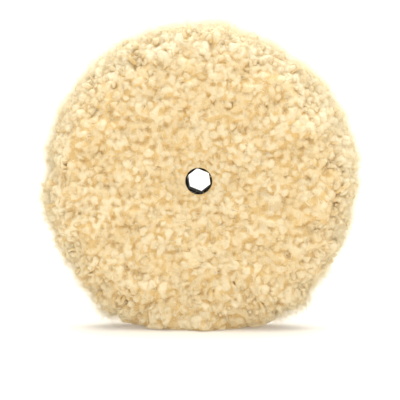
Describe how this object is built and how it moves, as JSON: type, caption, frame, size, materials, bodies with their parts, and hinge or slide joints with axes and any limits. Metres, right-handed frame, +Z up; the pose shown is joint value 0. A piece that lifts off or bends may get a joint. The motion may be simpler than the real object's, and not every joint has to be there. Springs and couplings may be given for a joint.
{
  "type": "double-sided wool polishing pad",
  "caption": "Round double-sided polishing pad of tufted wool with a moulded hexagonal hub bore, standing on its edge.",
  "frame": {"origin": "on the floor under the middle of the pad, which stands on its flattened edge", "axes": "+Y along the hub's axis from the front face to the rear face, +Z up, +X to the right seen from the front"},
  "size_m": [0.23, 0.05, 0.224],
  "materials": {
    "wool_yarn": "matte",
    "backing_canvas": "matte",
    "latex_coat": "satin",
    "core_felt": "matte",
    "hub_nylon": "satin",
    "rivet_aluminium": "satin",
    "sewing_thread": "matte"
  },
  "bodies": {
    "root": {"front_wool_pile": "wool_yarn", "front_backing_cloth": "backing_canvas", "front_latex_coat": "latex_coat", "front_hub_half": "hub_nylon", "front_hub_seam": "sewing_thread", "front_edge_seam": "sewing_thread", "rear_wool_pile": "wool_yarn", "rear_backing_cloth": "backing_canvas", "rear_latex_coat": "latex_coat", "rear_hub_half": "hub_nylon", "rear_hub_seam": "sewing_thread", "rear_edge_seam": "sewing_thread", "core_ring": "core_felt", "hub_rivet_1": "rivet_aluminium", "hub_rivet_2": "rivet_aluminium", "hub_rivet_3": "rivet_aluminium", "hub_rivet_4": "rivet_aluminium", "hub_rivet_5": "rivet_aluminium", "hub_rivet_6": "rivet_aluminium"}
  },
  "joints": []
}
